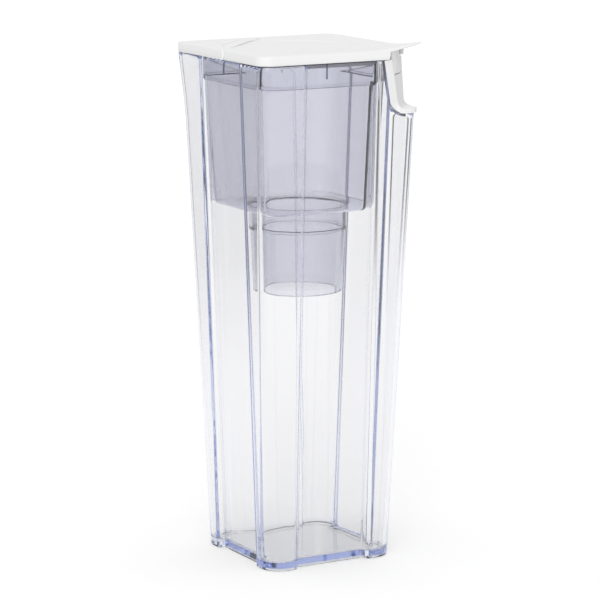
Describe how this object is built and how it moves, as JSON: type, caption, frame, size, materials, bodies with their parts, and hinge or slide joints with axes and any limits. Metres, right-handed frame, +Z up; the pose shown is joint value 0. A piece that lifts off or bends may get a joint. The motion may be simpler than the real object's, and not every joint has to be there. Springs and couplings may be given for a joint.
{
  "type": "water filter pitcher",
  "caption": "Slim square water filter pitcher in clear plastic with a smoky hopper, a filter cartridge in its sleeve and a white flip lid opened at a notched grip corner.",
  "frame": {"origin": "on the table, on the jug's axis", "axes": "+Z up along the jug's axis, the jug's sides along X and Y, the grip corner at +X -Y and the pouring corner at -X +Y"},
  "size_m": [0.1073, 0.1073, 0.3098],
  "materials": {
    "clear_plastic": "clear gloss",
    "smoky_plastic": "clear smoky gloss",
    "white_plastic": "satin",
    "cartridge_plastic": "clear smoky gloss",
    "seal_rubber": "matt",
    "screen_felt": "felt",
    "filter_granules": "granular"
  },
  "bodies": {
    "jug": {"outer_jug": "clear_plastic", "grip_saddle": "white_plastic"},
    "hopper": {"hopper": "smoky_plastic"},
    "lid": {"lid_frame": "white_plastic"},
    "flip": {"flip_lid": "white_plastic", "hinge_pins": "white_plastic"},
    "cartridge": {"cartridge_body": "cartridge_plastic", "cartridge_cap": "cartridge_plastic", "cartridge_grille": "cartridge_plastic", "cartridge_seal": "seal_rubber", "upper_screen": "screen_felt", "filter_media": "filter_granules", "lower_screen": "screen_felt"}
  },
  "joints": [
    {"name": "hopper_lift", "type": "slide", "parent": "jug", "child": "hopper", "axis": [0, 0, 1], "range_m": [0, 0.15]},
    {"name": "lid_lift", "type": "slide", "parent": "hopper", "child": "lid", "axis": [0, 0, 1], "range_m": [0, 0.03]},
    {"name": "lid_flip", "type": "hinge", "parent": "lid", "child": "flip", "pos_m": [-0.02668, 0.02668, 0.3031], "axis": [-0.7071, -0.7071, 0], "range_deg": [0, 105]},
    {"name": "cartridge_lift", "type": "slide", "parent": "hopper", "child": "cartridge", "axis": [0, 0, 1], "range_m": [0, 0.053]}
  ]
}
